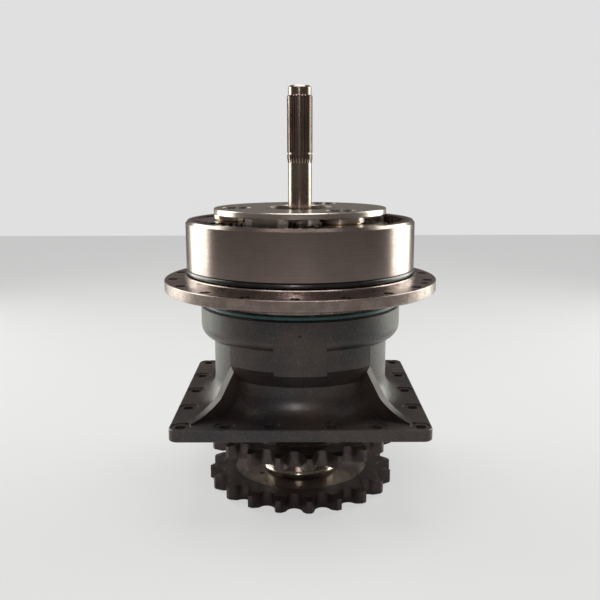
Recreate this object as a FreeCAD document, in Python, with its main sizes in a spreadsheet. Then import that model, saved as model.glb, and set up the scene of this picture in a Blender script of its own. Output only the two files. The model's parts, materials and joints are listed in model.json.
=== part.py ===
import FreeCAD, Part
import Sketcher
import math
import os

# Planetary final drive with a pivoting cast housing and a twin chain sprocket.
# Origin: middle of the square flange's lower face, on the drive axis. +Z points along
# the drive axis towards the input shaft, -Y is the side with the cast pad. Millimetres.

doc = FreeCAD.newDocument("final_drive")
sheet = doc.addObject("Spreadsheet::Sheet", "sizes")
Vector = FreeCAD.Vector
UP = Vector(0, 0, 1)
ORIGIN = Vector(0, 0, 0)

DRIVING = {
    # cast pivot housing
    "squareSide": 440, "squareThick": 21, "squareCorner": 16, "squareEdgeBreak": 1.5,
    "squareHole": 18, "holeEdgeRoom": 19, "spotFace": 36, "spotFaceDepth": 1.2,
    "nearHole": 52, "farHole": 127, "sideHole": 101,
    "housingHeight": 196.5, "castingWall": 18.5, "footRadius": 40,
    "collarStep": 23.5, "collarHeight": 37, "collarEdge": 2.5,
    "apronStep": 16.5, "apronTurn": 86, "apronFoot": 106, "apronToe": 72,
    "padTurn": 28, "padFoot": 101.5, "ribThick": 14, "ribReach": 285, "ribWaist": 52, "ribShoulder": 102,
    "ribFlare": 21, "ribFlareDrop": 28, "greaseHole": 8, "greaseDrop": 23, "housingRecess": 38,
    # pivot journal and its wear parts
    "journalRadius": 135, "bushWall": 8, "bushLength": 48, "runningGap": 0.06, "seatGap": 0.05,
    "thrustWall": 36, "thrustThick": 7, "thrustInset": 3, "faceGap": 0.3, "sealWall": 15, "sealDepth": 12,
    "lowerThrustThick": 7.7,
    # axle flange
    "flangeRim": 32.5, "flangeThick": 20, "bossDepth": 20, "boltEdgeRoom": 16, "flangeHole": 18,
    "flangeHoles": 18, "flangeTurn": -2, "jackHole": 14, "jackTurn": 69,
    "stepHeight": 9.4, "stepProud": 3.8, "ringCordGroove": 11.6, "ringCordSection": 10.4, "ringCordDepth": 9.8,
    "cavityRadius": 166, "cavityFloor": 6, "spindleBore": 78, "spindleMouth": 122,
    # gears
    "gearModule": 6, "pressureAngle": 25, "sunTeeth": 14, "planetTeeth": 25, "flankGap": 0.16,
    "ringWall": 10.2, "ringHeight": 86.5, "ringEdge": 5, "ringFoot": 6, "dowelRadius": 5, "dowelSeat": 9, "dowels": 8,
    "planetFace": 78, "planetLift": 8, "sunFace": 72, "planetTurn": 37,
    # planet carrier
    "pinRadius": 24, "pinSeatWall": 17, "plateThick": 10.5, "plateBoss": 8, "plateHole": 64,
    "cheekThick": 22, "washerThick": 2, "washerWall": 13, "pinRecess": 3.2, "ringWire": 2.4,
    "webInner": 75, "webOuter": 151, "webRoot": 14, "webTip": 40, "hubRadius": 72,
    "needleRadius": 4.5, "needleCount": 19, "needleGap": 0.06, "needleEnd": 3,
    # bearings
    "bearingBore": 55, "bearingOuter": 85, "bearingWidth": 38, "cupWidth": 33, "cupBig": 80, "cupSmall": 74.2,
    "coneBig": 65.2, "rollerCount": 24, "rollerLength": 27, "rollerEnd": 4, "cageWall": 2,
    "lowerBearing": 30, "bearingSpan": 120, "spacerWall": 8,
    # output shaft
    "outputSpline": 46, "outputTeeth": 28, "splineDepth": 3.2, "splineGap": 0.08,
    "retainerThick": 9, "retainerRoom": 3, "clampPull": 0.05, "carrierBoltCircle": 46,
    # spindle retainer and shaft seal
    "plateDrop": 16, "plateBore": 86, "plateReach": 20.5, "plateBoltCircle": 220, "plateBolts": 12,
    "sealGap": 0.06, "shaftSealHeight": 12,
    # chain sprocket
    "chainPitch": 50.8, "rollerDiameter": 28.58, "sprocketTeeth": 20, "tipRadius": 175.5,
    "sprocketThick": 28.5, "sprocketTip": 21.5, "rowSpacing": 79, "upperRow": 59, "ringBore": 126.5,
    "webThick": 21.2, "neckRadius": 66, "spoolRadius": 67.5, "spoolFillet": 10, "toothTurn": 5,
    "jackBore": 4.5, "jackCircle": 88, "endCounterbore": 54, "endPlateThick": 12,
    "endPlateDepth": 27, "endBoltCircle": 52, "endBolts": 3, "neckStep": 2,
    # input shaft
    "shaftRadius": 21.5, "shaftSpline": 23, "shaftTeeth": 26, "shaftSplineDepth": 1.9,
    "shaftFoot": 6, "upperSpline": 120, "plainLength": 98, "shaftTail": 16.5, "tailRadius": 20.9,
    "tailEdge": 3, "clipGroove": 2.4, "clipGrooveDepth": 1.9, "clipGroovePlace": 16, "clipWall": 4,
    # fasteners
    "boltRadius": 8, "boltHead": 10, "boltFlats": 24, "threadGap": 0.1, "boltGap": 0.6, "boltGrip": 30,
}


class Size:
    """One length: its spreadsheet expression and its present value."""

    def __init__(self, text, value):
        self.text = text
        self.value = float(value)

    def joined(self, sign, other, value, swapped=False):
        pair = (other.text, self.text) if swapped else (self.text, other.text)
        return Size("(%s %s %s)" % (pair[0], sign, pair[1]), value)

    def __add__(self, other):
        other = asSize(other)
        return self.joined("+", other, self.value + other.value)

    def __radd__(self, other):
        return self + other

    def __sub__(self, other):
        other = asSize(other)
        return self.joined("-", other, self.value - other.value)

    def __rsub__(self, other):
        return asSize(other) - self

    def __mul__(self, other):
        other = asSize(other)
        return self.joined("*", other, self.value * other.value)

    def __rmul__(self, other):
        return self * other

    def __truediv__(self, other):
        other = asSize(other)
        return self.joined("/", other, self.value / other.value)

    def __neg__(self):
        return asSize(0) - self

    def __float__(self):
        return self.value

    def cos(self):
        return Size("cos(%s)" % self.text, math.cos(math.radians(self.value)))

    def sin(self):
        return Size("sin(%s)" % self.text, math.sin(math.radians(self.value)))


def asSize(value):
    if isinstance(value, Size):
        return value
    return Size(repr(value), value)


class Sizes:
    """Every named size, read back from the spreadsheet."""


def fillSheet():
    for row, (name, value) in enumerate(DRIVING.items(), start=1):
        sheet.set("A%d" % row, name)
        sheet.set("B%d" % row, str(value))
        sheet.setAlias("B%d" % row, name)
    doc.recompute()
    sizes = Sizes()
    for name in DRIVING:
        setattr(sizes, name, Size("sizes." + name, sheet.get(name)))
    return sizes


s = fillSheet()

# ---------------------------------------------------------------- derived places
boreRadius = s.journalRadius + s.bushWall
bodyRadius = boreRadius + s.castingWall
collarRadius = bodyRadius + s.collarStep
recessRadius = boreRadius + s.sealWall
thrustTop = s.housingHeight + s.thrustThick
bossBottom = thrustTop + s.faceGap
flangeBottom = bossBottom + s.bossDepth
flangeTop = flangeBottom + s.flangeThick
stepTop = flangeTop + s.stepHeight
ringSeat = stepTop + s.ringCordGroove
ringTop = ringSeat + s.ringHeight

ringTeeth = s.sunTeeth + 2 * s.planetTeeth
sunPitch = s.gearModule * s.sunTeeth / 2
planetPitch = s.gearModule * s.planetTeeth / 2
ringPitch = s.gearModule * ringTeeth / 2
gearCentres = sunPitch + planetPitch
ringRoot = ringPitch + 1.25 * s.gearModule
ringTip = ringPitch - s.gearModule
ringOuter = ringRoot + s.ringWall
dowelCircle = (ringTip + ringOuter - s.ringCordDepth) / 2
flangeRadius = ringOuter + s.stepProud + s.flangeRim + 5
boltCircle = flangeRadius - s.boltEdgeRoom

planetBottom = ringSeat + s.planetLift
planetTop = planetBottom + s.planetFace
plateBossBottom = planetTop + s.washerThick + 2 * s.faceGap
plateBottom = plateBossBottom + s.plateBoss
plateTop = plateBottom + s.plateThick
cheekTop = planetBottom - s.washerThick - 2 * s.faceGap
cheekBottom = cheekTop - s.cheekThick
carrierRadius = gearCentres + s.pinRadius + s.pinSeatWall
planetBore = s.pinRadius + 2 * s.needleRadius + 3 * s.needleGap

lowerBearingTop = s.lowerBearing + s.bearingWidth
upperBearing = lowerBearingTop + s.bearingSpan - s.bearingWidth
upperBearingTop = upperBearing + s.bearingWidth
plateDown = s.lowerBearing - s.plateDrop

upperRowMiddle = -s.upperRow
lowerRowMiddle = upperRowMiddle - s.rowSpacing
lowestFace = lowerRowMiddle - s.sprocketThick / 2
hubBottom = lowerRowMiddle - s.webThick / 2

sunBottom = planetBottom + (s.planetFace - s.sunFace) / 2
sunTop = sunBottom + s.sunFace
shaftBottom = sunBottom - s.shaftFoot
lowerSplineTop = sunTop + s.shaftFoot
upperSplineBottom = lowerSplineTop + s.plainLength
upperSplineTop = upperSplineBottom + s.upperSpline
shaftTop = upperSplineTop + s.shaftTail
clampTop = shaftBottom - s.retainerRoom - s.boltHead
clampBottom = clampTop - s.retainerThick


# ---------------------------------------------------------------- drawing helpers
def newBody(label):
    body = doc.addObject("PartDesign::Body", label)
    body.Label = label
    return body


def newSketch(body, role, name, offset=None, turn=None):
    sketch = body.newObject("Sketcher::SketchObject", name)
    plane = [item for item in body.Origin.OriginFeatures if item.Role == role][0]
    sketch.AttachmentSupport = [(plane, "")]
    sketch.MapMode = "FlatFace"
    if turn is not None:
        sketch.AttachmentOffset = FreeCAD.Placement(ORIGIN, FreeCAD.Rotation(Vector(0, 1, 0), turn))
    if offset is not None:
        offset = asSize(offset)
        place = sketch.AttachmentOffset
        place.Base = Vector(0, 0, offset.value)
        sketch.AttachmentOffset = place
        sketch.setExpression(".AttachmentOffset.Base.z", offset.text)
    return sketch


def fixPoint(sketch, edge, end, place):
    """Tie one end of an edge to its place in the sketch."""
    for kind, axis, length in (("DistanceX", -2, place[0]), ("DistanceY", -1, place[1])):
        if length.value == 0 and length.text == "0":
            sketch.addConstraint(Sketcher.Constraint("PointOnObject", edge, end, axis))
            continue
        index = sketch.addConstraint(Sketcher.Constraint(kind, edge, end, length.value))
        sketch.setExpression("Constraints[%d]" % index, length.text)


def bowedEdge(start, end, radius, leftTurn):
    """Arc from start to end that turns left (or right) as it goes."""
    chord = end - start
    side = Vector(-chord.y, chord.x, 0).normalize()
    if not leftTurn:
        side = side * -1
    rise = math.sqrt(max(radius ** 2 - (chord.Length / 2) ** 2, 0))
    centre = start + chord * 0.5 + side * rise
    first, last = (start, end) if leftTurn else (end, start)
    angles = [math.atan2(point.y - centre.y, point.x - centre.x) for point in (first, last)]
    return Part.ArcOfCircle(Part.Circle(centre, UP, radius), angles[0], angles[1])


def drawOutline(sketch, outline):
    """Closed outline. A corner is (x, y), or (x, y, radius, leftTurn) where an arc leaves it."""
    count = len(outline)
    corners = [(asSize(corner[0]), asSize(corner[1])) for corner in outline]
    points = [Vector(corner[0].value, corner[1].value, 0) for corner in corners]
    first = len(sketch.Geometry)
    ends = []
    for index, corner in enumerate(outline):
        start, end = points[index], points[(index + 1) % count]
        if len(corner) == 2:
            sketch.addGeometry(Part.LineSegment(start, end))
            ends.append((1, 2))
        else:
            radius = asSize(corner[2])
            edge = sketch.addGeometry(bowedEdge(start, end, radius.value, corner[3]))
            held = sketch.addConstraint(Sketcher.Constraint("Radius", edge, radius.value))
            sketch.setExpression("Constraints[%d]" % held, radius.text)
            ends.append((1, 2) if corner[3] else (2, 1))
    for index in range(count):
        before = (index - 1) % count
        sketch.addConstraint(Sketcher.Constraint(
            "Coincident", first + before, ends[before][1], first + index, ends[index][0]))
    for index in range(count):
        fixPoint(sketch, first + index, ends[index][0], corners[index])


def drawCircle(sketch, x, y, radius):
    x, y, radius = asSize(x), asSize(y), asSize(radius)
    edge = sketch.addGeometry(Part.Circle(Vector(x.value, y.value, 0), UP, radius.value))
    held = sketch.addConstraint(Sketcher.Constraint("Radius", edge, radius.value))
    sketch.setExpression("Constraints[%d]" % held, radius.text)
    fixPoint(sketch, edge, 3, (x, y))


def bind(feature, name, value):
    value = asSize(value)
    setattr(feature, name, value.value)
    feature.setExpression(name, value.text)


def revolve(body, name, outline, kind="Revolution", turn=None):
    """Turn an outline of (radius, height) corners about the drive axis."""
    role = "XZ_Plane" if turn is None else "YZ_Plane"
    sketch = newSketch(body, role, name + "_outline")
    drawOutline(sketch, outline)
    feature = body.newObject("PartDesign::" + kind, name)
    feature.Profile = sketch
    feature.ReferenceAxis = (sketch, ["V_Axis"])
    feature.Angle = 360
    if turn is not None:
        feature.Midplane = True
        bind(feature, "Angle", turn)
    body.Tip = feature
    return feature


def lathe(label, outline):
    body = newBody(label)
    revolve(body, label + "_turned", outline)
    return body


def ring(label, inner, outer, bottom, top, edge=None):
    """Plain ring, with its outer edges broken where an edge size is given."""
    if edge is None:
        return lathe(label, [(inner, bottom), (outer, bottom), (outer, top), (inner, top)])
    return lathe(label, [(inner, bottom), (outer - edge, bottom), (outer, bottom + edge), (outer, top - edge),
                         (outer - edge, top), (inner, top)])


def pad(body, name, sketch, length, kind="Pad", both=False):
    feature = body.newObject("PartDesign::" + kind, name)
    feature.Profile = sketch
    bind(feature, "Length", length)
    if both:
        feature.Midplane = True
    body.Tip = feature
    return feature


def aroundAxis(body, name, feature, count, turnAll=360):
    pattern = body.newObject("PartDesign::PolarPattern", name)
    pattern.Originals = [feature]
    axis = [item for item in body.Origin.OriginFeatures if item.Role == "Z_Axis"][0]
    pattern.Axis = (axis, [""])
    pattern.Angle = turnAll
    count = asSize(count)
    pattern.Occurrences = int(count.value)
    if not count.text.isdigit():
        pattern.setExpression("Occurrences", count.text)
    body.Tip = pattern
    return pattern


def boreCircle(body, name, radius, circle, turn, count, top, depth):
    """Equal holes on a circle, cut down from a level. turn counts from -Y towards +X."""
    sketch = newSketch(body, "XY_Plane", name + "_mark", offset=top)
    turn = asSize(turn)
    drawCircle(sketch, circle * turn.sin(), -(circle * turn.cos()), radius)
    hole = pad(body, name, sketch, depth, kind="Pocket")
    if asSize(count).value > 1:
        aroundAxis(body, name + "_pattern", hole, count)


def feature(label, shape, x=0, y=0, z=0, turn=0):
    """Part feature from a finished shape, put in its place."""
    item = doc.addObject("Part::Feature", label)
    item.Label = label
    item.Shape = shape
    place = FreeCAD.Placement(Vector(x, y, z), FreeCAD.Rotation(UP, turn))
    item.Placement = place.multiply(shape.Placement)
    return item


def polar(radius, turn, z=0):
    """Point at a turn counted in degrees from -Y towards +X."""
    angle = math.radians(turn)
    return Vector(radius * math.sin(angle), -radius * math.cos(angle), z)


def turnedCopies(shape, count, turn=0):
    """Copies of a shape spaced evenly about the drive axis."""
    copies = []
    for index in range(int(count)):
        copy = shape.copy()
        copy.rotate(ORIGIN, UP, turn + index * 360.0 / int(count))
        copies.append(copy)
    return copies


def tube(inner, outer, bottom, height):
    outside = Part.makeCylinder(float(outer), float(height), Vector(0, 0, float(bottom)))
    inside = Part.makeCylinder(float(inner), float(height) + 2, Vector(0, 0, float(bottom) - 1))
    return outside.cut(inside)


# ---------------------------------------------------------------- teeth
def involute(angle):
    return math.tan(angle) - angle


def toothWheel(pitch, teeth, tip, root, halfTooth, height):
    """Solid wheel with involute teeth, one tooth centred on +X."""
    teeth = int(teeth)
    pressure = math.radians(s.pressureAngle.value)
    base = pitch * math.cos(pressure)
    start = max(root, base + 0.02)
    radii = [start + (tip - start) * share / 6.0 for share in range(7)]
    flank = []
    for radius in radii:
        half = halfTooth + involute(pressure) - involute(math.acos(base / radius))
        flank.append((radius, half))
    edges = []
    step = 2 * math.pi / teeth

    def place(radius, angle):
        return Vector(radius * math.cos(angle), radius * math.sin(angle), 0)

    for index in range(teeth):
        middle = index * step
        rising = [place(radius, middle - half) for radius, half in flank]
        falling = [place(radius, middle + half) for radius, half in reversed(flank)]
        if start > root + 1e-6:
            edges.append(Part.makeLine(place(root, middle - flank[0][1]), rising[0]))
        for points in (rising, falling):
            curve = Part.BSplineCurve()
            curve.interpolate(points)
            edges.append(curve.toShape())
            if points is rising:
                edges.append(Part.Arc(rising[-1], place(tip, middle), falling[0]).toShape())
        if start > root + 1e-6:
            edges.append(Part.makeLine(falling[-1], place(root, middle + flank[0][1])))
        nextStart = place(root, middle + step - flank[0][1])
        edges.append(Part.Arc(place(root, middle + flank[0][1]), place(root, middle + step / 2), nextStart).toShape())
    return Part.Face(Part.Wire(edges)).extrude(Vector(0, 0, height))


def splineWheel(teeth, outer, depth, height):
    """Shaft section with straight-sided splines."""
    teeth = int(teeth)
    points = []
    step = 2 * math.pi / teeth
    for index in range(teeth):
        for share, radius in ((0.08, outer), (0.34, outer), (0.5, outer - depth), (0.92, outer - depth)):
            angle = (index + share) * step
            points.append(Vector(radius * math.cos(angle), radius * math.sin(angle), 0))
    points.append(points[0])
    return Part.Face(Part.makePolygon(points)).extrude(Vector(0, 0, height))


def sprocketWheel(teeth, height):
    """Roller-chain wheel with one tooth centred on +X."""
    teeth = int(teeth)
    pitchCircle = s.chainPitch.value / 2 / math.sin(math.pi / teeth)
    seat = 0.5025 * s.rollerDiameter.value + 0.2
    seatTurn = math.radians(70 - 45.0 / teeth)
    flank = 0.12 * s.rollerDiameter.value * (teeth + 2)
    tip = s.tipRadius.value
    # end of the seat, and the centre of the flank arc, beside a gap centred on +X
    end = Vector(pitchCircle - seat * math.cos(seatTurn), seat * math.sin(seatTurn), 0)
    across = Vector(-math.cos(seatTurn), math.sin(seatTurn), 0)
    centre = end + across * flank
    # tip point: where the flank arc meets the tip circle
    reach = centre.Length
    along = (reach ** 2 + tip ** 2 - flank ** 2) / (2 * reach)
    height2 = math.sqrt(tip ** 2 - along ** 2)
    unit = Vector(centre.x / reach, centre.y / reach, 0)
    tipPoint = unit * along + Vector(unit.y, -unit.x, 0) * height2
    middleDirection = ((end + tipPoint) * 0.5 - centre).normalize()
    flankMiddle = centre + middleDirection * flank

    def mirrored(point):
        return Vector(point.x, -point.y, 0)

    def turned(point, angle):
        return FreeCAD.Rotation(UP, angle).multVec(point)

    edges = []
    for index in range(teeth):
        angle = (index + 0.5) * 360.0 / teeth
        parts = [
            (mirrored(tipPoint), mirrored(flankMiddle), mirrored(end)),
            (mirrored(end), Vector(pitchCircle - seat, 0, 0), end),
            (end, flankMiddle, tipPoint),
        ]
        for first, middle, last in parts:
            edges.append(Part.Arc(turned(first, angle), turned(middle, angle), turned(last, angle)).toShape())
        nextTip = turned(mirrored(tipPoint), angle + 360.0 / teeth)
        crown = turned(Vector(tip, 0, 0), angle + 180.0 / teeth)
        edges.append(Part.Arc(turned(tipPoint, angle), crown, nextTip).toShape())
    return Part.Face(Part.Wire(edges)).extrude(Vector(0, 0, height))


# ---------------------------------------------------------------- fasteners
def hexBolt(radius, head, flats, grip):
    """Bolt with its head's seat at z = 0, shank down, head up."""
    shank = Part.makeCylinder(radius, grip, Vector(0, 0, -grip))
    corner = flats / math.sqrt(3)
    points = [Vector(corner * math.cos(math.radians(60 * k)), corner * math.sin(math.radians(60 * k)), 0)
              for k in range(7)]
    prism = Part.Face(Part.makePolygon(points)).extrude(Vector(0, 0, head))
    dome = Part.makeCone(corner * 1.12, corner * 0.84, head)
    return shank.fuse(prism.common(dome)).removeSplitter()


def boltCircleSet(label, bolt, circle, count, level, turn, headUp=True):
    """Group of equal bolts on a circle."""
    if not headUp:
        bolt = bolt.copy()
        bolt.rotate(ORIGIN, Vector(1, 0, 0), 180)
    bolt = bolt.copy()
    bolt.translate(polar(circle, turn, level))
    return feature(label, Part.makeCompound(turnedCopies(bolt, count)))


# ---------------------------------------------------------------- cast pivot housing
def buildHousing():
    body = newBody("pivot_housing")
    square = newSketch(body, "XY_Plane", "square_outline")
    half = s.squareSide / 2
    near = half - s.squareCorner
    corner = s.squareCorner
    drawOutline(square, [(-near, -half), (near, -half, corner, True), (half, -near), (half, near, corner, True),
                         (near, half), (-near, half, corner, True), (-half, near), (-half, -near, corner, True)])
    plate = pad(body, "square_flange", square, s.squareThick)
    doc.recompute()
    flat = [("Edge%d" % (index + 1)) for index, edge in enumerate(plate.Shape.Edges)
            if edge.BoundBox.ZLength < 1e-6]
    edges = body.newObject("PartDesign::Chamfer", "square_edges")
    edges.Base = (plate, flat)
    bind(edges, "Size", s.squareEdgeBreak)
    body.Tip = edges

    low = s.squareThick
    footTop = low + s.footRadius
    collarBottom = s.housingHeight - s.collarHeight
    top = s.housingHeight
    revolve(body, "casting_body", [
        (0, low / 2), (bodyRadius + s.footRadius, low / 2), (bodyRadius + s.footRadius, low, s.footRadius, False),
        (bodyRadius, footTop), (bodyRadius, collarBottom - s.collarStep, s.collarStep, True),
        (collarRadius, collarBottom), (collarRadius, top - s.collarEdge), (collarRadius - s.collarEdge, top),
        (0, top)])
    revolve(body, "front_apron", [
        (-boreRadius, collarBottom), (-boreRadius, s.apronToe), (-(bodyRadius - 2), s.apronToe),
        (-(bodyRadius + s.apronStep), s.apronFoot), (-(bodyRadius + s.apronStep), collarBottom)],
        turn=s.apronTurn)
    revolve(body, "front_pad", [
        (-boreRadius, collarBottom + s.collarEdge), (-boreRadius, s.padFoot), (-collarRadius, s.padFoot),
        (-collarRadius, collarBottom + s.collarEdge)], turn=s.padTurn)

    rib = newSketch(body, "XZ_Plane", "rib_outline", turn=45)
    ribFoot = low / 2
    drawOutline(rib, [
        (boreRadius + 2, ribFoot), (s.ribReach, ribFoot),
        (s.ribReach, low, s.ribReach / 2, False),
        (bodyRadius + s.footRadius, s.ribWaist),
        (bodyRadius + 4, s.ribShoulder), (bodyRadius + 2, collarBottom - s.ribFlareDrop),
        (bodyRadius + s.ribFlare, collarBottom), (boreRadius + 2, collarBottom)])
    web = pad(body, "corner_rib", rib, s.ribThick, both=True)
    aroundAxis(body, "corner_ribs", web, 4)

    inner = boreRadius
    bushFoot = s.housingRecess
    relief = inner + 3
    revolve(body, "pivot_bore", [
        (0, -1), (recessRadius, -1), (recessRadius, bushFoot), (inner, bushFoot),
        (inner, bushFoot + s.bushLength), (relief, bushFoot + s.bushLength + 3),
        (relief, top - s.sealDepth - s.bushLength - 3), (inner, top - s.sealDepth - s.bushLength),
        (inner, top - s.sealDepth), (s.journalRadius + s.sealWall, top - s.sealDepth),
        (s.journalRadius + s.sealWall, top + 1), (0, top + 1)], kind="Groove")

    edge = half - s.holeEdgeRoom
    places = []
    for side in (-1, 1):
        for across in (s.nearHole, s.farHole, edge):
            places += [(-across, edge * side), (across, edge * side)]
        places += [(edge * side, -s.sideHole), (edge * side, s.sideHole), (edge * side, 0)]
    for name, radius, depth in (("flange_holes", s.squareHole / 2, s.squareThick + 60),
                                ("spot_faces", s.spotFace / 2, 60)):
        level = s.squareThick + 60 - (s.spotFaceDepth if name == "spot_faces" else 0)
        marks = newSketch(body, "XY_Plane", name + "_mark", offset=level)
        for x, y in places:
            drawCircle(marks, x, y, radius)
        pad(body, name, marks, depth, kind="Pocket")
    grease = newSketch(body, "XZ_Plane", "grease_mark", offset=collarRadius + 2)
    drawCircle(grease, 0, s.housingHeight - s.greaseDrop, s.greaseHole / 2)
    pad(body, "grease_hole", grease, s.castingWall + s.collarStep + 8, kind="Pocket")
    return body


def buildPivotParts():
    top = s.housingHeight
    inner = s.journalRadius + s.runningGap
    outer = boreRadius - s.seatGap
    low = s.housingRecess
    ring("lower_pivot_bush", inner, outer, low, low + s.bushLength)
    upper = top - s.sealDepth
    ring("upper_pivot_bush", inner, outer, upper - s.bushLength, upper)
    ring("upper_thrust_ring", s.journalRadius + s.thrustInset, s.journalRadius + s.thrustInset + s.thrustWall + 8,
         top + s.seatGap, thrustTop, edge=1.2)
    lip = s.journalRadius + s.sealGap
    shell = s.journalRadius + s.sealWall - s.seatGap
    foot = upper + s.faceGap
    lathe("pivot_seal", [(lip, foot + 4), (lip + 2, foot + 2), (lip + 6, foot + 5), (shell - 2, foot + 5), (shell - 2, foot),
                         (shell, foot), (shell, top - 1), (lip + 5, top - 1), (lip + 5, top - 3), (lip, foot + 6)])
    ring("lower_thrust_ring", s.journalRadius + s.runningGap + 1.5, recessRadius - 1,
         low - s.lowerThrustThick, low - s.seatGap)
    radius = s.greaseHole.value / 2
    plug = Part.makeCylinder(radius - s.threadGap.value, 12)
    plug = plug.cut(Part.makeBox(1.6, 9, 3, Vector(-0.8, -4.5, 10)))
    plug.rotate(ORIGIN, Vector(1, 0, 0), 90)
    plug.translate(Vector(0, -collarRadius.value + 16, s.housingHeight.value - s.greaseDrop.value))
    feature("grease_plug", plug)


# ---------------------------------------------------------------- axle flange with its spindle
def buildAxleFlange():
    foot = s.lowerBearing
    seat = s.bearingOuter + s.seatGap
    lowerSeatTop = lowerBearingTop
    upperSeatFoot = upperBearing
    mouth = upperBearingTop + 4
    boss = s.journalRadius + s.thrustInset + s.thrustWall
    cavity = flangeTop - s.cavityFloor
    stepRadius = ringOuter + s.stepProud
    grooveRadius = ringOuter - s.ringCordDepth
    body = lathe("axle_flange", [
        (seat, foot), (s.journalRadius - 1.5, foot), (s.journalRadius, foot + 1.5), (s.journalRadius, bossBottom),
        (boss, bossBottom), (boss, flangeBottom), (flangeRadius - 1.5, flangeBottom), (flangeRadius, flangeBottom + 1.5),
        (flangeRadius, flangeTop - 1), (flangeRadius - 1, flangeTop), (stepRadius, flangeTop), (stepRadius, stepTop - 1.5),
        (stepRadius - 1.5, stepTop), (grooveRadius, stepTop), (grooveRadius, ringSeat), (s.cavityRadius, ringSeat),
        (s.cavityRadius, cavity), (s.spindleMouth, cavity), (s.spindleMouth, mouth), (seat, mouth),
        (seat, upperSeatFoot), (s.spindleBore, upperSeatFoot), (s.spindleBore, lowerSeatTop), (seat, lowerSeatTop)])
    boreCircle(body, "flange_bolts", s.flangeHole / 2, boltCircle, s.flangeTurn, s.flangeHoles,
               flangeTop + 1, s.flangeThick + 2)
    boreCircle(body, "jack_holes", s.jackHole / 2, boltCircle, s.jackTurn, 2, flangeTop + 1, s.flangeThick + 2)
    boreCircle(body, "dowel_holes", s.dowelRadius + s.seatGap, dowelCircle, 0, s.dowels,
               ringSeat + 1, s.dowelSeat + 1)
    hole = s.boltRadius + s.threadGap
    boreCircle(body, "plate_threads", hole, s.plateBoltCircle / 2, 0, s.plateBolts, foot + s.boltGrip, s.boltGrip + 1)
    return body


def buildAxleParts():
    section = s.ringCordSection.value / 2
    centre = ringOuter.value - s.ringCordDepth.value + section + s.seatGap.value
    cord = Part.makeTorus(centre, section, Vector(0, 0, stepTop.value + s.ringCordGroove.value / 2))
    feature("ring_gear_seal", cord)

    pitch, module = ringPitch.value, s.gearModule.value
    halfSpace = math.pi / 2 / ringTeeth.value + s.flankGap.value / 2 / pitch
    height = s.ringHeight.value
    space = toothWheel(pitch, ringTeeth.value, pitch + 1.25 * module, pitch - module, halfSpace, height + 2)
    space.rotate(ORIGIN, UP, s.planetTurn.value - 90)
    space.translate(Vector(0, 0, s.ringFoot.value))
    space = space.fuse(Part.makeCylinder(ringTip.value, height + 2, Vector(0, 0, -1)))
    outer, edge = ringOuter.value, s.ringEdge.value
    blank = Part.makeCylinder(outer, height - edge)
    blank = blank.fuse(Part.makeCone(outer, outer - edge * 0.8, edge, Vector(0, 0, height - edge)))
    wheel = blank.cut(space)
    radius, gap = s.dowelRadius.value, s.seatGap.value
    hole = Part.makeCylinder(radius + gap, s.ringFoot.value + 1, polar(dowelCircle.value, 0, -1))
    wheel = wheel.cut(Part.makeCompound(turnedCopies(hole, s.dowels.value)))
    feature("ring_gear", wheel.removeSplitter(), z=ringSeat.value)
    dowel = Part.makeCylinder(radius, s.dowelSeat.value + s.ringFoot.value - 4 * gap,
                              polar(dowelCircle.value, 0, ringSeat.value - s.dowelSeat.value + 2 * gap))
    feature("ring_gear_dowels", Part.makeCompound(turnedCopies(dowel, s.dowels.value)))

    foot = s.lowerBearing
    down = plateDown
    reach = s.journalRadius + s.plateReach
    body = lathe("spindle_retainer", [
        (s.plateBore, down), (reach - 2, down), (reach, down + 2), (reach, foot - s.seatGap), (s.cupBig + 1, foot - s.seatGap),
        (s.cupBig + 1, foot - 2), (s.plateBore, foot - 2)])
    boreCircle(body, "plate_holes", s.boltRadius + s.boltGap, s.plateBoltCircle / 2, 0, s.plateBolts,
               foot + 1, s.plateDrop + 2)
    bolt = hexBolt(s.boltRadius.value, s.boltHead.value, s.boltFlats.value,
                   s.plateDrop.value + s.boltGrip.value - 4)
    boltCircleSet("retainer_bolts", bolt, s.plateBoltCircle.value / 2, s.plateBolts.value,
                  down.value - s.seatGap.value, 0, headUp=False)
    lip = s.neckRadius + s.sealGap
    shell = s.plateBore - s.seatGap
    low = down + 1
    high = low + s.shaftSealHeight
    lathe("output_seal", [(lip, low + 5), (lip + 3, low + 3), (lip + 9, low + 2), (lip + 9, low), (shell, low), (shell, high),
                          (shell - 2, high), (shell - 2, low + 2), (lip + 11, low + 2.5), (lip + 3, low + 7), (lip, low + 7)])


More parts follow.
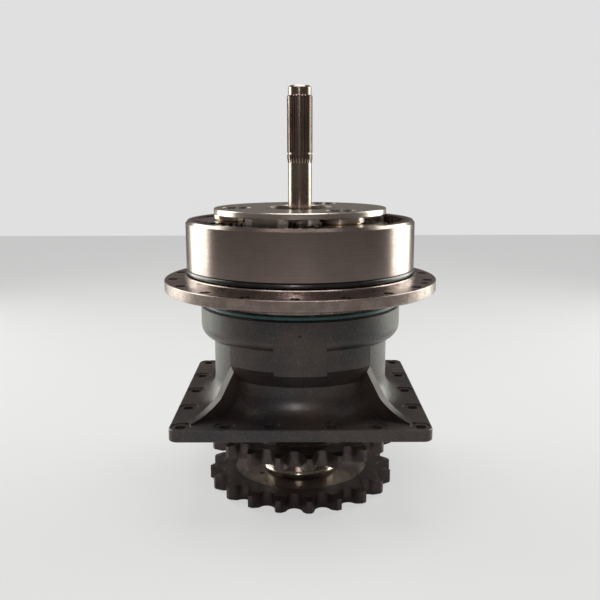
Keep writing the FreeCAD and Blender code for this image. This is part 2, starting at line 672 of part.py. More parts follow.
# ---------------------------------------------------------------- tapered roller bearings
def buildBearing(name, level, bigEndDown):
    """Cup, cone, rollers and cage. All roller lines meet at one apex on the drive axis."""
    width, cupWidth = s.bearingWidth.value, s.cupWidth.value
    cupBig, cupSmall, coneBig = s.cupBig.value, s.cupSmall.value, s.coneBig.value
    slope = (cupBig - cupSmall) / cupWidth
    apex = cupBig / slope
    coneSlope = coneBig / apex
    play = 0.1
    outer = s.bearingOuter.value
    inner = s.bearingBore.value + s.seatGap.value

    def line(steepness, z):
        return steepness * (apex - z)

    cup = Part.makeCylinder(outer, cupWidth).cut(Part.makeCone(cupBig, cupSmall, cupWidth))
    start = s.rollerEnd.value
    finish = start + s.rollerLength.value
    tilt = (math.atan(slope) + math.atan(coneSlope)) / 2
    spread = (math.atan(slope) - math.atan(coneSlope)) / 2
    radii = [math.tan(spread) * (apex - z) / math.cos(tilt) - play for z in (start, finish)]
    rib = 2.4
    ribFace = start - radii[0] * math.sin(tilt) - 2 * play
    outline = [
        (inner, -1), (line(coneSlope, 0) + rib, -1), (line(coneSlope, ribFace) + rib, ribFace),
        (line(coneSlope, ribFace), ribFace), (line(coneSlope, finish), finish),
        (line(coneSlope, finish) + 1.2, finish), (line(coneSlope, width - 1) + 1.2, width - 1),
        (inner, width - 1)]
    points = [Vector(radius, 0, z) for radius, z in outline]
    cone = Part.Face(Part.makePolygon(points + [points[0]])).revolve(ORIGIN, UP, 360)
    length = (finish - start) / math.cos(tilt)
    axisStart = Vector(math.tan(tilt) * (apex - start), 0, start)
    direction = Vector(-math.sin(tilt), 0, math.cos(tilt))
    roller = Part.makeCone(radii[0], radii[1], length, axisStart, direction)
    window = Part.makeCone(radii[0] + 0.3, radii[1] + 0.3, length + 0.6, axisStart - direction * 0.3, direction)
    count = s.rollerCount.value
    wall = s.cageWall.value
    middle = [math.tan(tilt) * (apex - z) + 1.0 for z in (start - 2, finish + 2)]
    cage = Part.makeCone(middle[0] + wall / 2, middle[1] + wall / 2, finish - start + 4, Vector(0, 0, start - 2))
    cage = cage.cut(Part.makeCone(middle[0] - wall / 2, middle[1] - wall / 2, finish - start + 4, Vector(0, 0, start - 2)))
    cage = cage.cut(Part.makeCompound(turnedCopies(window, count)))
    rollers = Part.makeCompound(turnedCopies(roller, count))
    shapes = {"_cup": cup, "_cone": cone, "_rollers": rollers, "_cage": cage}
    for ending, shape in shapes.items():
        item = doc.addObject("Part::Feature", name + ending)
        item.Label = name + ending
        if bigEndDown:
            item.Shape = shape
            item.Placement = FreeCAD.Placement(Vector(0, 0, level.value + 1), FreeCAD.Rotation())
        else:
            item.Shape = shape
            item.Placement = FreeCAD.Placement(Vector(0, 0, level.value + width - 1),
                                               FreeCAD.Rotation(Vector(1, 0, 0), 180))


# ---------------------------------------------------------------- planet carrier and planets
def planetTurns():
    return [s.planetTurn.value + 120 * index for index in range(3)]


def buildCarrier():
    body = newBody("planet_carrier")
    bore = s.outputSpline + s.splineGap
    clampSeat = clampBottom - s.clampPull
    revolve(body, "carrier_hub", [
        (bore, upperBearingTop), (s.hubRadius - 2, upperBearingTop), (s.hubRadius, upperBearingTop + 2),
        (s.hubRadius, cheekBottom), (carrierRadius - 2, cheekBottom), (carrierRadius, cheekBottom + 2),
        (carrierRadius, cheekTop - 2), (carrierRadius - 2, cheekTop), (s.hubRadius - 8, cheekTop),
        (s.hubRadius - 8, clampSeat), (bore, clampSeat)])
    web = newSketch(body, "XY_Plane", "web_outline", offset=cheekTop - 1)
    drawOutline(web, [(-s.webRoot, s.webInner), (s.webRoot, s.webInner), (s.webTip, s.webOuter - 6),
                      (s.webTip * 0.6, s.webOuter), (-(s.webTip * 0.6), s.webOuter), (-s.webTip, s.webOuter - 6)])
    web.AttachmentOffset = FreeCAD.Placement(Vector(0, 0, (cheekTop - 1).value),
                                             FreeCAD.Rotation(UP, s.planetTurn.value))
    web.setExpression(".AttachmentOffset.Rotation.Angle", "sizes.planetTurn * 1 deg")
    column = pad(body, "carrier_web", web, plateBottom - cheekTop + 2)
    aroundAxis(body, "carrier_webs", column, 3)
    revolve(body, "carrier_plate", [
        (s.plateHole, plateBottom), (carrierRadius - 1, plateBottom), (carrierRadius, plateBottom + 1),
        (carrierRadius, plateTop - 1), (carrierRadius - 1, plateTop), (s.plateHole + 1, plateTop),
        (s.plateHole, plateTop - 1)])
    turn = s.planetTurn
    boss = newSketch(body, "XY_Plane", "boss_outline", offset=plateBossBottom)
    drawCircle(boss, gearCentres * turn.sin(), -(gearCentres * turn.cos()), s.pinRadius + s.pinSeatWall)
    lump = pad(body, "pin_boss", boss, s.plateBoss + 1)
    aroundAxis(body, "pin_bosses", lump, 3)
    boreCircle(body, "pin_bores", s.pinRadius + s.seatGap, gearCentres, turn, 3, plateTop + 1,
               plateTop - cheekBottom + 2)
    boreCircle(body, "pin_mouths", s.pinRadius + 3, gearCentres, turn, 3, plateTop + 1, s.pinRecess + 1)
    return body


def meshTurn(index):
    """Turn of planet number index about its own axis, so that it meshes with the sun at rest."""
    direction = math.radians(planetTurns()[index] - 90)
    start = math.radians(planetTurns()[0] - 90)
    sunTeeth, planetTeeth = s.sunTeeth.value, s.planetTeeth.value
    share = (direction - start) * sunTeeth / (2 * math.pi)
    gap = direction + math.pi + share * 2 * math.pi / planetTeeth
    return math.degrees(gap + math.pi / planetTeeth)


def buildPlanets():
    module, pitch = s.gearModule.value, planetPitch.value
    halfTooth = math.pi / 2 / s.planetTeeth.value - s.flankGap.value / 2 / pitch
    face = s.planetFace.value
    wheel = toothWheel(pitch, s.planetTeeth.value, pitch + module, pitch - 1.25 * module, halfTooth, face)
    wheel = wheel.cut(Part.makeCylinder(planetBore.value, face + 2, Vector(0, 0, -1)))
    pinRadius = s.pinRadius.value
    needle = Part.makeCylinder(s.needleRadius.value, face - 2 * s.needleEnd.value,
                               Vector(pinRadius + s.needleGap.value + s.needleRadius.value, 0, s.needleEnd.value))
    needles = Part.makeCompound(turnedCopies(needle, s.needleCount.value))
    washer = tube(pinRadius + s.seatGap.value, pinRadius + s.washerWall.value, 0, s.washerThick.value)
    low = cheekTop.value + s.faceGap.value - planetBottom.value
    high = face + s.faceGap.value
    lowWasher, highWasher = washer.copy(), washer.copy()
    lowWasher.translate(Vector(0, 0, low))
    highWasher.translate(Vector(0, 0, high))
    pinFoot = cheekBottom.value + 2
    pinLength = plateTop.value - s.pinRecess.value - s.ringWire.value * 0 - pinFoot
    pin = Part.makeCylinder(pinRadius, pinLength)
    pin = pin.cut(Part.makeCylinder(5, 30, Vector(0, 0, -1)))
    snaps = []
    for index, turn in enumerate(planetTurns()):
        place = polar(gearCentres.value, turn)
        number = "_%d" % (index + 1)
        feature("planet_gear" + number, wheel, place.x, place.y, planetBottom.value, meshTurn(index))
        feature("planet_rollers" + number, needles, place.x, place.y, planetBottom.value)
        feature("planet_washers" + number, Part.makeCompound([lowWasher, highWasher]), place.x, place.y,
                planetBottom.value)
        feature("planet_pin" + number, pin, place.x, place.y, pinFoot)
        wire = s.ringWire.value
        outside = pinRadius + 3 - s.seatGap.value
        snap = tube(outside - wire * 1.6, outside, plateTop.value - s.pinRecess.value, wire)
        snap = snap.cut(Part.makeBox(14, 12, 20, Vector(-7, -outside - 4, plateTop.value - 10)))
        snap.translate(place)
        snap.rotate(place, UP, turn + 25)
        snaps.append(snap)
    feature("pin_snap_rings", Part.makeCompound(snaps))


# ---------------------------------------------------------------- sun gear and input shaft
def buildSun():
    module, pitch = s.gearModule.value, sunPitch.value
    halfTooth = math.pi / 2 / s.sunTeeth.value - s.flankGap.value / 2 / pitch
    wheel = toothWheel(pitch, s.sunTeeth.value, pitch + module, pitch - 1.25 * module, halfTooth, s.sunFace.value)
    gap = s.splineGap.value
    hole = splineWheel(s.shaftTeeth.value, s.shaftSpline.value + gap, s.shaftSplineDepth.value, s.sunFace.value + 2)
    hole.translate(Vector(0, 0, -1))
    wheel = wheel.cut(hole)
    turn = s.planetTurn.value - 90
    feature("sun_gear", wheel, z=sunBottom.value, turn=turn)

    radius, spline = s.shaftRadius.value, s.shaftSpline.value
    bottom, top = shaftBottom.value, shaftTop.value
    lowTop, highFoot, highTop = lowerSplineTop.value, upperSplineBottom.value, upperSplineTop.value
    tail, edge = s.tailRadius.value, s.tailEdge.value
    outline = [(0, bottom), (spline - 3, bottom), (spline, bottom + 3), (spline, lowTop - 2), (radius, lowTop),
               (radius, highFoot), (spline, highFoot + 3 * (spline - radius) + 4), (spline, highTop - 2), (tail, highTop),
               (tail, top - edge), (tail - edge, top), (0, top)]
    points = [Vector(x, 0, z) for x, z in outline]
    blank = Part.Face(Part.makePolygon(points + [points[0]])).revolve(ORIGIN, UP, 360)
    depth = s.shaftSplineDepth.value
    for foot, head in ((bottom - 1, lowTop - 3), (highFoot, highTop + 1)):
        wheel = splineWheel(s.shaftTeeth.value, spline + 0.01, depth, head - foot)
        wheel.translate(Vector(0, 0, foot))
        wheel.rotate(ORIGIN, UP, turn)
        lower = Part.makeCylinder(spline + 5, foot - bottom + 20, Vector(0, 0, bottom - 20))
        upper = Part.makeCylinder(spline + 5, top - head + 20, Vector(0, 0, head))
        blank = blank.common(wheel.fuse([lower, upper]))
    grooves = (highFoot + s.clipGroovePlace.value, sunTop.value + s.seatGap.value,
               sunBottom.value - s.seatGap.value - s.clipGroove.value)
    for level in grooves:
        groove = tube(spline - s.clipGrooveDepth.value - 0.01, spline + 2, level, s.clipGroove.value)
        blank = blank.cut(groove)
    feature("sun_shaft", blank)
    clips = []
    for level in grooves[1:]:
        clip = tube(spline - s.clipGrooveDepth.value + s.seatGap.value, spline + s.clipWall.value,
                    level + s.seatGap.value, s.clipGroove.value - 2 * s.seatGap.value)
        clips.append(clip.cut(Part.makeBox(6, 40, 40, Vector(-3, 0, level - 20))))
    feature("sun_snap_rings", Part.makeCompound(clips))


# ---------------------------------------------------------------- output shaft and what clamps it
def buildOutputShaft():
    low = hubBottom + s.endPlateDepth + s.retainerRoom
    high = clampBottom - s.clampPull * 2
    outline = [(0, low), (s.outputSpline - 2, low), (s.outputSpline, low + 2), (s.outputSpline, s.lowerBearing - 30),
               (s.bearingBore, s.lowerBearing - 26), (s.bearingBore, upperBearingTop - s.faceGap),
               (s.outputSpline, upperBearingTop - s.faceGap), (s.outputSpline, high - 2), (s.outputSpline - 2, high), (0, high)]
    points = [Vector(float(x), 0, float(z)) for x, z in outline]
    blank = Part.Face(Part.makePolygon(points + [points[0]])).revolve(ORIGIN, UP, 360)
    radius, depth = s.outputSpline.value, s.splineDepth.value
    upper = splineWheel(s.outputTeeth.value, radius + 0.01, depth, high.value - upperBearingTop.value + 4)
    upper.translate(Vector(0, 0, upperBearingTop.value - 0.5))
    lowerHigh = s.lowerBearing.value - 30
    lower = splineWheel(s.outputTeeth.value, radius + 0.01, depth, lowerHigh - low.value + 2)
    lower.translate(Vector(0, 0, low.value - 2))
    middle = Part.makeCylinder(s.bearingBore.value + 2, upperBearingTop.value - s.faceGap.value - lowerHigh,
                               Vector(0, 0, lowerHigh))
    shaft = blank.common(upper.fuse([lower, middle]))
    threads = s.boltRadius.value + s.threadGap.value
    holes = []
    for circle, level, count in ((s.carrierBoltCircle.value / 2, high.value - s.boltGrip.value, 3),
                                 (s.endBoltCircle.value / 2, low.value - 1, s.endBolts.value)):
        hole = Part.makeCylinder(threads, s.boltGrip.value + 1, polar(circle, 0, level))
        holes += turnedCopies(hole, count)
    feature("output_shaft", shaft.cut(Part.makeCompound(holes)))
    ring("bearing_spacer", s.bearingBore + s.seatGap, s.bearingBore + s.spacerWall,
         lowerBearingTop + s.seatGap, upperBearing - s.seatGap)


def buildClampPlates():
    reach = s.outputSpline + 10
    top = clampTop
    plate = ring("carrier_retainer", asSize(6), reach, clampBottom, top, edge=1)
    boreCircle(plate, "carrier_retainer_holes", s.boltRadius + s.boltGap, s.carrierBoltCircle / 2, 0, 3,
               top + 1, s.retainerThick + 2)


# ---------------------------------------------------------------- chain sprocket
def buildSprocket():
    low = hubBottom
    upperTop, upperFoot = upperRowMiddle + s.webThick / 2, upperRowMiddle - s.webThick / 2
    lowerTop = lowerRowMiddle + s.webThick / 2
    neckTop = s.lowerBearing - s.seatGap
    spool, fillet, web = s.spoolRadius, s.spoolFillet, s.ringBore - s.seatGap
    bore = s.outputSpline + s.splineGap
    counter = low + s.endPlateDepth
    body = lathe("sprocket_hub", [
        (bore, counter), (s.endCounterbore, counter), (s.endCounterbore, low), (web, low), (web, lowerTop),
        (spool + fillet, lowerTop, fillet, False), (spool, lowerTop + fillet), (spool, upperFoot - fillet, fillet, False),
        (spool + fillet, upperFoot), (web, upperFoot), (web, upperTop), (spool + 4, upperTop), (spool, upperTop + 4),
        (spool, upperTop + 12), (s.neckRadius, upperTop + 14), (s.neckRadius, neckTop - s.neckStep),
        (s.neckRadius - s.neckStep, neckTop), (s.bearingBore + s.seatGap, neckTop),
        (s.bearingBore + s.seatGap, s.lowerBearing - 34), (bore, s.lowerBearing - 34)])
    boreCircle(body, "jack_bores", s.jackBore, s.jackCircle, -56, 2, lowerTop + 1, s.webThick + 2)
    return body


def buildSprocketRings():
    teeth = s.sprocketTeeth.value
    full, narrow = s.sprocketThick.value, s.sprocketTip.value
    tip = s.tipRadius.value
    shoulder = s.chainPitch.value / 2 / math.sin(math.pi / teeth)
    drop = (full - narrow) / 2
    bore = s.ringBore.value
    outline = [(bore, 0), (shoulder, 0), (tip + 0.01, drop), (tip + 0.01, full - drop), (shoulder, full), (bore, full)]
    points = [Vector(x, 0, z) for x, z in outline]
    envelope = Part.Face(Part.makePolygon(points + [points[0]])).revolve(ORIGIN, UP, 360)
    wheel = sprocketWheel(teeth, full).common(envelope)
    for label, middle in (("upper_sprocket_ring", upperRowMiddle), ("lower_sprocket_ring", lowerRowMiddle)):
        feature(label, wheel, z=middle.value - full / 2, turn=s.toothTurn.value - 90)


def buildEndClamp():
    low = hubBottom
    top = low + s.endPlateDepth - s.seatGap
    reach = s.endCounterbore - s.boltGap
    plate = ring("sprocket_retainer", asSize(6), reach, top - s.endPlateThick, top, edge=1)
    boreCircle(plate, "sprocket_retainer_holes", s.boltRadius + s.boltGap, s.endBoltCircle / 2, 0, s.endBolts,
               top + 1, s.endPlateThick + 2)


def buildClampBolts():
    bolt = hexBolt(s.boltRadius.value, s.boltHead.value, s.boltFlats.value, s.boltGrip.value)
    boltCircleSet("carrier_bolts", bolt, s.carrierBoltCircle.value / 2, 3, clampTop.value + s.seatGap.value, 0)
    foot = hubBottom.value + s.endPlateDepth.value - s.endPlateThick.value
    boltCircleSet("sprocket_bolts", bolt, s.endBoltCircle.value / 2, s.endBolts.value,
                  foot - 2 * s.seatGap.value, 0, headUp=False)


buildHousing()
buildPivotParts()
buildAxleFlange()
buildAxleParts()
buildBearing("lower_bearing", s.lowerBearing, True)
buildBearing("upper_bearing", upperBearing, False)
buildCarrier()
buildPlanets()
buildSun()
buildOutputShaft()
buildClampPlates()
buildSprocket()
buildSprocketRings()
buildEndClamp()
buildClampBolts()
doc.recompute()

# ---------------------------------------------------------------- check and write
written = []
for item in doc.Objects:
    for word in ("Invalid", "Error"):
        if word in item.State:
            raise RuntimeError("%s is %s" % (item.Label, item.State))
    isPart = item.TypeId == "PartDesign::Body" or item.TypeId == "Part::Feature"
    if isPart:
        if item.Shape.isNull() or not item.Shape.isValid() or not item.Shape.Solids:
            raise RuntimeError("%s has no valid solid" % item.Label)
        written.append(item)

os.makedirs("parts", exist_ok=True)
for item in written:
    item.Shape.exportStep("parts/%s.step" % item.Label)
    box = item.Shape.BoundBox
    print("%-24s solids %3d  volume %11.0f  z %7.1f .. %7.1f  r %6.1f" % (
        item.Label, len(item.Shape.Solids), item.Shape.Volume, box.ZMin, box.ZMax, box.XMax))
print(len(written), "sub-parts")
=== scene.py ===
import bpy
import json
import math
from mathutils import Matrix, Vector

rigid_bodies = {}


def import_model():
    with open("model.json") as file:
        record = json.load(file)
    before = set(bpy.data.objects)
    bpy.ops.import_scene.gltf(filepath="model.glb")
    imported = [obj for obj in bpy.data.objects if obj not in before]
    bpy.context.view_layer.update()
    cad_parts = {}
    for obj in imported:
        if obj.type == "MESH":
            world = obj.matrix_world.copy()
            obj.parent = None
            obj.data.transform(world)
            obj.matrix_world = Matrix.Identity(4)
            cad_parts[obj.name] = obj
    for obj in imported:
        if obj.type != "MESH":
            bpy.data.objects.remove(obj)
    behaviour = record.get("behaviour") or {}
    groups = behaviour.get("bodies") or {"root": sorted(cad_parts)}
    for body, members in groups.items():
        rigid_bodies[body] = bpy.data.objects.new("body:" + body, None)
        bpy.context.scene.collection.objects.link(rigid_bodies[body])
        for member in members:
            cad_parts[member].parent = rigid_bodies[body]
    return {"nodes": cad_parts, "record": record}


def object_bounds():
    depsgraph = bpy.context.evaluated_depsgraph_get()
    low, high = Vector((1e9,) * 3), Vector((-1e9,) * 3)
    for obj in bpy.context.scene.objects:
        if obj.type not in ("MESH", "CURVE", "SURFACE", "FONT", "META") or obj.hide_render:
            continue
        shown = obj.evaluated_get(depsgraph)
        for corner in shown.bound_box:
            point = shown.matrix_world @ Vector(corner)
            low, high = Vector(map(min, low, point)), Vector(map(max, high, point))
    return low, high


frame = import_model()
nodes = frame["nodes"]
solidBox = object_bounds()
print("frame loaded:", len(nodes), "solids")


# ---------- shader expressions
class Value:
    # a node socket that can be used in sums and products
    def __init__(self, tree, socket):
        self.tree = tree
        self.socket = socket

    def maths(self, operation, *values):
        return self.tree.node("ShaderNodeMath", {"operation": operation}, dict(enumerate(values)))

    def __add__(self, other):
        return self.maths("ADD", self, other)

    def __radd__(self, other):
        return self.maths("ADD", other, self)

    def __sub__(self, other):
        return self.maths("SUBTRACT", self, other)

    def __rsub__(self, other):
        return self.maths("SUBTRACT", other, self)

    def __mul__(self, other):
        return self.maths("MULTIPLY", self, other)

    def __rmul__(self, other):
        return self.maths("MULTIPLY", other, self)

    def __truediv__(self, other):
        return self.maths("DIVIDE", self, other)

    def power(self, other):
        return self.maths("POWER", self, other)

    def atLeast(self, other):
        return self.maths("MAXIMUM", self, other)

    def atMost(self, other):
        return self.maths("MINIMUM", self, other)


class Finish:
    # one material, built from expressions
    def __init__(self, name):
        self.material = bpy.data.materials.new(name)
        self.material.use_nodes = True
        self.tree = self.material.node_tree
        self.shader = self.tree.nodes["Principled BSDF"]
        place = self.node("ShaderNodeTexCoord", {}, {}, "Object")
        self.place = place
        parts = self.node("ShaderNodeSeparateXYZ", {}, {0: place}, None)
        self.x, self.y, self.z = [Value(self, parts.outputs[k]) for k in range(3)]
        self.radius = (self.x * self.x + self.y * self.y).power(0.5)

    def node(self, kind, settings, inputs, output=0):
        made = self.tree.nodes.new(kind)
        for key, setting in settings.items():
            if key == "stops":
                self.setStops(made.color_ramp, setting)
            else:
                setattr(made, key, setting)
        for key, value in inputs.items():
            if isinstance(value, Value):
                self.tree.links.new(value.socket, made.inputs[key])
            else:
                made.inputs[key].default_value = value
        if output is None:
            return made
        return Value(self, made.outputs[output])

    def setStops(self, ramp, stops):
        while len(ramp.elements) > 1:
            ramp.elements.remove(ramp.elements[-1])
        for index, (position, shade) in enumerate(stops):
            element = ramp.elements[0] if index == 0 else ramp.elements.new(position)
            element.position = position
            element.color = shade if len(shade) == 4 else tuple(shade) + (1,)

    def noise(self, scale, detail=3, roughness=0.55, place=None):
        return self.node("ShaderNodeTexNoise", {"noise_dimensions": "3D"},
                         {"Vector": place or self.place, "Scale": scale, "Detail": detail, "Roughness": roughness}, "Fac")

    def stretch(self, x, y, z):
        return self.node("ShaderNodeVectorMath", {"operation": "MULTIPLY"}, {0: self.place, 1: (x, y, z)})

    def rings(self, scale, detail=2):
        # noise that changes along the axis and radius only, as a lathe tool leaves it
        spot = self.node("ShaderNodeCombineXYZ", {}, {0: self.radius * scale, 1: self.z * scale, 2: 0.0})
        return self.noise(1.0, detail, 0.6, spot)

    def step(self, value, low, high):
        return self.node("ShaderNodeMapRange", {"interpolation_type": "SMOOTHSTEP", "clamp": True},
                         {"Value": value, "From Min": low, "From Max": high, "To Min": 0.0, "To Max": 1.0})

    def mix(self, share, first, second):
        made = self.tree.nodes.new("ShaderNodeMix")
        made.data_type = "RGBA"
        self.tree.links.new(share.socket, made.inputs["Factor"])
        for name, colour in (("A", first), ("B", second)):
            socket = [item for item in made.inputs if item.name == name and item.type == "RGBA"][0]
            if isinstance(colour, Value):
                self.tree.links.new(colour.socket, socket)
            else:
                socket.default_value = tuple(colour) + (1,)
        return Value(self, [item for item in made.outputs if item.type == "RGBA"][0])

    def bump(self, height, strength, distance, under=None):
        inputs = {"Height": height, "Strength": strength, "Distance": distance}
        if under is not None:
            inputs["Normal"] = under
        return self.node("ShaderNodeBump", {}, inputs, "Normal")

    def set(self, **sockets):
        for name, value in sockets.items():
            label = {"color": "Base Color", "roughness": "Roughness", "metallic": "Metallic", "normal": "Normal",
                     "coat": "Coat Weight", "coatRoughness": "Coat Roughness", "specular": "Specular IOR Level",
                     "sheen": "Sheen Weight"}[name]
            socket = self.shader.inputs[label]
            if isinstance(value, Value):
                self.tree.links.new(value.socket, socket)
            elif name == "color":
                socket.default_value = tuple(value) + (1,)
            else:
                socket.default_value = value
        return self.material


# ---------- finishes
def castFinish(name, look):
    # dark oily casting: grains, pits and a brown film in random patches
    f = Finish(name)
    grain = f.noise(look["grain"], 2, 0.6)
    lump = f.noise(look["lump"], 3)
    film = f.noise(look["film"], 4, 0.6)
    body = f.mix(f.step(film, 0.36, 0.64), look["dark"], look["brown"])
    # pale flecks on the raised grains: partly lighter grain tone, partly painted glints
    body = f.mix(f.step(grain, 0.55, 0.75) * look["grainAndGlintShare"], body, look["paleGrainAndGlint"])
    body = f.mix(f.step(lump, 0.6, 0.72) * 0.5, body, look["dark"])
    rough = look["roughness"] + (grain - 0.5) * 0.25 + (film - 0.5) * 0.2
    normal = f.bump(lump, look["lumpBump"], 0.0012)
    normal = f.bump(grain, look["grainBump"], 0.0006, normal)
    return f.set(color=body, roughness=rough, normal=normal, metallic=look["metallic"], coat=look["coat"],
                 coatRoughness=0.25)


def turnedFinish(name, look):
    # machined steel: fine tool rings, stains and a thin oil film
    f = Finish(name)
    rings = f.rings(look["rings"])
    stain = f.noise(look["stain"], 5, 0.65)
    speck = f.noise(look["speck"], 2, 0.7)
    body = f.mix(f.step(stain, 0.35, 0.7), look["color"], look["stained"])
    body = f.mix(f.step(speck, 0.62, 0.74) * look["speckled"], body, look["dark"])
    body = f.mix(f.step(rings, 0.3, 0.75) * 0.25, body, look["dark"])
    rough = look["roughness"] + (stain - 0.5) * look["patchy"] + (rings - 0.5) * 0.12
    normal = f.bump(rings, look["ringBump"], 0.0004)
    normal = f.bump(speck, look["speckBump"], 0.0003, normal)
    return f.set(color=body, roughness=rough, normal=normal, metallic=look["metallic"], coat=look["coat"],
                 coatRoughness=0.12)


def softFinish(name, look):
    # rubber, fabric-filled resin and other dull stuff
    f = Finish(name)
    grain = f.noise(look["grain"], 3)
    cloud = f.noise(look["cloud"], 3)
    body = f.mix(f.step(cloud, 0.35, 0.68), look["color"], look["worn"])
    rough = look["roughness"] + (grain - 0.5) * 0.2
    return f.set(color=body, roughness=rough, normal=f.bump(grain, look["bump"], 0.0004), coat=look["coat"],
                 specular=look["specular"])


# the pale fleck colour is partly grain tone and partly painted glints
castLook = {"grain": 620.0, "lump": 150.0, "film": 11.0, "dark": (0.016, 0.014, 0.015), "brown": (0.040, 0.027, 0.023),
            "paleGrainAndGlint": (0.16, 0.145, 0.15), "grainAndGlintShare": 0.55, "roughness": 0.40, "metallic": 0.35, "coat": 0.25,
            "lumpBump": 0.35, "grainBump": 0.55}

turnedLooks = {
    "flange_steel": {"color": (0.36, 0.29, 0.26), "stained": (0.22, 0.165, 0.15), "dark": (0.06, 0.045, 0.04),
                     "roughness": 0.27, "rings": 900.0, "ringBump": 0.25, "speck": 420.0, "speckled": 0.45,
                     "speckBump": 0.25, "stain": 26.0, "patchy": 0.25, "metallic": 1.0, "coat": 0.1},
    "ring_gear_steel": {"color": (0.34, 0.27, 0.245), "stained": (0.27, 0.21, 0.19), "dark": (0.10, 0.08, 0.07),
                        "roughness": 0.22, "rings": 700.0, "ringBump": 0.12, "speck": 700.0, "speckled": 0.15,
                        "speckBump": 0.06, "stain": 14.0, "patchy": 0.12, "metallic": 1.0, "coat": 0.0},
    "gear_steel": {"color": (0.30, 0.26, 0.24), "stained": (0.16, 0.13, 0.115), "dark": (0.05, 0.04, 0.04),
                   "roughness": 0.28, "rings": 500.0, "ringBump": 0.1, "speck": 500.0, "speckled": 0.3,
                   "speckBump": 0.1, "stain": 60.0, "patchy": 0.2, "metallic": 1.0, "coat": 0.1},
    "bearing_steel": {"color": (0.55, 0.54, 0.52), "stained": (0.45, 0.43, 0.41), "dark": (0.2, 0.19, 0.18),
                      "roughness": 0.14, "rings": 900.0, "ringBump": 0.05, "speck": 900.0, "speckled": 0.1,
                      "speckBump": 0.03, "stain": 50.0, "patchy": 0.08, "metallic": 1.0, "coat": 0.0},
    "pressed_steel": {"color": (0.22, 0.21, 0.20), "stained": (0.13, 0.12, 0.115), "dark": (0.04, 0.04, 0.04),
                      "roughness": 0.32, "rings": 300.0, "ringBump": 0.04, "speck": 500.0, "speckled": 0.3,
                      "speckBump": 0.1, "stain": 80.0, "patchy": 0.15, "metallic": 1.0, "coat": 0.0},
    "carrier_steel": {"color": (0.62, 0.58, 0.52), "stained": (0.42, 0.35, 0.30), "dark": (0.2, 0.16, 0.13),
                      "roughness": 0.25, "rings": 1000.0, "ringBump": 0.15, "speck": 500.0, "speckled": 0.2,
                      "speckBump": 0.08, "stain": 18.0, "patchy": 0.2, "metallic": 1.0, "coat": 0.0},
    "pin_steel": {"color": (0.58, 0.55, 0.50), "stained": (0.40, 0.36, 0.32), "dark": (0.2, 0.17, 0.15),
                  "roughness": 0.22, "rings": 900.0, "ringBump": 0.08, "speck": 600.0, "speckled": 0.2,
                  "speckBump": 0.05, "stain": 40.0, "patchy": 0.15, "metallic": 1.0, "coat": 0.0},
    "shaft_steel": {"color": (0.33, 0.26, 0.22), "stained": (0.22, 0.16, 0.135), "dark": (0.07, 0.05, 0.045),
                    "roughness": 0.2, "rings": 1100.0, "ringBump": 0.12, "speck": 500.0, "speckled": 0.2,
                    "speckBump": 0.06, "stain": 30.0, "patchy": 0.12, "metallic": 1.0, "coat": 0.1},
    "clamp_steel": {"color": (0.40, 0.36, 0.33), "stained": (0.25, 0.21, 0.19), "dark": (0.08, 0.07, 0.06),
                    "roughness": 0.3, "rings": 800.0, "ringBump": 0.2, "speck": 420.0, "speckled": 0.3,
                    "speckBump": 0.15, "stain": 30.0, "patchy": 0.2, "metallic": 1.0, "coat": 0.0},
    "bolt_steel": {"color": (0.07, 0.065, 0.065), "stained": (0.12, 0.085, 0.07), "dark": (0.02, 0.02, 0.02),
                   "roughness": 0.35, "rings": 400.0, "ringBump": 0.05, "speck": 600.0, "speckled": 0.3,
                   "speckBump": 0.15, "stain": 70.0, "patchy": 0.2, "metallic": 1.0, "coat": 0.1},
    "sprocket_steel": {"color": (0.075, 0.058, 0.055), "stained": (0.045, 0.033, 0.033), "dark": (0.015, 0.012, 0.012),
                       "roughness": 0.36, "rings": 260.0, "ringBump": 0.08, "speck": 260.0, "speckled": 0.5,
                       "speckBump": 0.4, "stain": 40.0, "patchy": 0.25, "metallic": 0.75, "coat": 0.2},
    "hub_steel": {"color": (0.42, 0.37, 0.33), "stained": (0.27, 0.22, 0.19), "dark": (0.09, 0.07, 0.06),
                  "roughness": 0.22, "rings": 700.0, "ringBump": 0.25, "speck": 420.0, "speckled": 0.25,
                  "speckBump": 0.1, "stain": 20.0, "patchy": 0.15, "metallic": 1.0, "coat": 0.1},
    "bearing_bronze": {"color": (0.52, 0.34, 0.17), "stained": (0.36, 0.22, 0.11), "dark": (0.12, 0.07, 0.04),
                       "roughness": 0.3, "rings": 900.0, "ringBump": 0.15, "speck": 500.0, "speckled": 0.2,
                       "speckBump": 0.08, "stain": 40.0, "patchy": 0.2, "metallic": 1.0, "coat": 0.0},
}

softLooks = {
    "seal_rubber": {"color": (0.006, 0.006, 0.006), "worn": (0.012, 0.012, 0.012), "grain": 500.0, "cloud": 60.0,
                    "roughness": 0.3, "bump": 0.1, "coat": 0.2, "specular": 0.5},
    "thrust_composite": {"color": (0.004, 0.045, 0.050), "worn": (0.008, 0.070, 0.076), "grain": 700.0, "cloud": 45.0,
                         "roughness": 0.4, "bump": 0.2, "coat": 0.1, "specular": 0.5},
}

finishes = {"cast_housing": castFinish("cast_housing", castLook)}
for name, look in turnedLooks.items():
    finishes[name] = turnedFinish(name, look)
for name, look in softLooks.items():
    finishes[name] = softFinish(name, look)
print("finishes made:", len(finishes))

for part in frame["record"]["subparts"]:
    mesh = nodes[part["node"]].data
    mesh.materials.clear()
    mesh.materials.append(finishes[part["material_slot"]])


# ---------- studio
studio = {"floor": 9.0, "floorColor": (0.60, 0.60, 0.60), "world": 0.28, "glow": 0.745}


def deselectAll():
    for item in bpy.context.view_layer.objects:
        item.select_set(False)


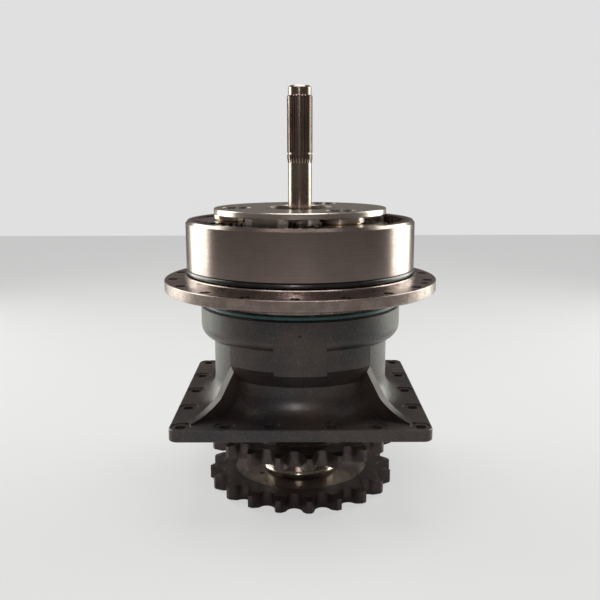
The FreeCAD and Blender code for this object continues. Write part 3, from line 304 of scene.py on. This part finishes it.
def makeStudio():
    deselectAll()
    bottom = solidBox[0][2]
    bpy.ops.mesh.primitive_plane_add(size=studio["floor"], location=(0, 0, bottom - 0.0005))
    floor = bpy.context.object
    floor.name = "studio_floor"
    surface = Finish("studio_floor")
    surface.set(color=studio["floorColor"], roughness=0.9)
    rays = surface.node("ShaderNodeLightPath", {}, {}, "Is Camera Ray")
    glow = surface.tree.nodes.new("ShaderNodeEmission")
    glow.inputs["Color"].default_value = (studio["glow"], studio["glow"], studio["glow"], 1)
    blend = surface.tree.nodes.new("ShaderNodeMixShader")
    out = surface.tree.nodes["Material Output"]
    surface.tree.links.new((rays * 0.72).socket, blend.inputs[0])
    surface.tree.links.new(surface.shader.outputs[0], blend.inputs[1])
    surface.tree.links.new(glow.outputs[0], blend.inputs[2])
    surface.tree.links.new(blend.outputs[0], out.inputs["Surface"])
    floor.data.materials.append(surface.material)

    world = bpy.data.worlds.new("studio")
    bpy.context.scene.world = world
    world.use_nodes = True
    tree = world.node_tree
    light = tree.nodes["Background"]
    light.inputs["Color"].default_value = (0.55, 0.5, 0.48, 1)
    light.inputs["Strength"].default_value = studio["world"]
    seen = tree.nodes.new("ShaderNodeBackground")
    seen.inputs["Color"].default_value = (studio["glow"], studio["glow"], studio["glow"], 1)
    path = tree.nodes.new("ShaderNodeLightPath")
    mix = tree.nodes.new("ShaderNodeMixShader")
    tree.links.new(path.outputs["Is Camera Ray"], mix.inputs[0])
    tree.links.new(light.outputs[0], mix.inputs[1])
    tree.links.new(seen.outputs[0], mix.inputs[2])
    tree.links.new(mix.outputs[0], tree.nodes["World Output"].inputs["Surface"])


lamps = {
    "left_window": {"place": (-1.9, 0.9, 0.9), "size": (1.5, 2.2), "power": 55, "color": (0.95, 1.0, 0.93)},
    "right_window": {"place": (1.9, 0.9, 0.9), "size": (1.5, 2.2), "power": 55, "color": (0.95, 1.0, 0.93)},
    "front_strip": {"place": (-0.25, -2.3, 1.5), "size": (0.25, 1.2), "power": 22, "color": (1.0, 0.98, 0.97)},
    "top_panel": {"place": (0.0, 0.2, 2.4), "size": (1.6, 1.6), "power": 40, "color": (1.0, 1.0, 1.0)},
}
lampTarget = Vector((0, 0, 0.2))


def makeLamps():
    for name, lamp in lamps.items():
        data = bpy.data.lights.new(name, "AREA")
        data.shape = "RECTANGLE"
        data.size, data.size_y = lamp["size"]
        data.energy = lamp["power"]
        data.color = lamp["color"]
        item = bpy.data.objects.new(name, data)
        bpy.context.scene.collection.objects.link(item)
        place = Vector(lamp["place"])
        facing = (lampTarget - place).to_track_quat("-Z", "Y").to_matrix().to_4x4()
        item.matrix_world = Matrix.Translation(place) @ facing


view = {"place": (-0.00038, -1.4189, 0.4689), "down": 10.818, "roll": -0.138, "lens": 45.99}


def makeCamera():
    data = bpy.data.cameras.new("front_camera")
    data.lens = view["lens"]
    data.sensor_width = 36
    data.clip_start = 0.05
    item = bpy.data.objects.new("front_camera", data)
    bpy.context.scene.collection.objects.link(item)
    tilt = Matrix.Rotation(math.radians(90 - view["down"]), 4, "X")
    roll = Matrix.Rotation(math.radians(view["roll"]), 4, "Z")
    item.matrix_world = Matrix.Translation(Vector(view["place"])) @ tilt @ roll
    bpy.context.scene.camera = item


makeStudio()
makeLamps()
makeCamera()
bpy.context.scene.view_settings.view_transform = "Standard"
print("studio ready")
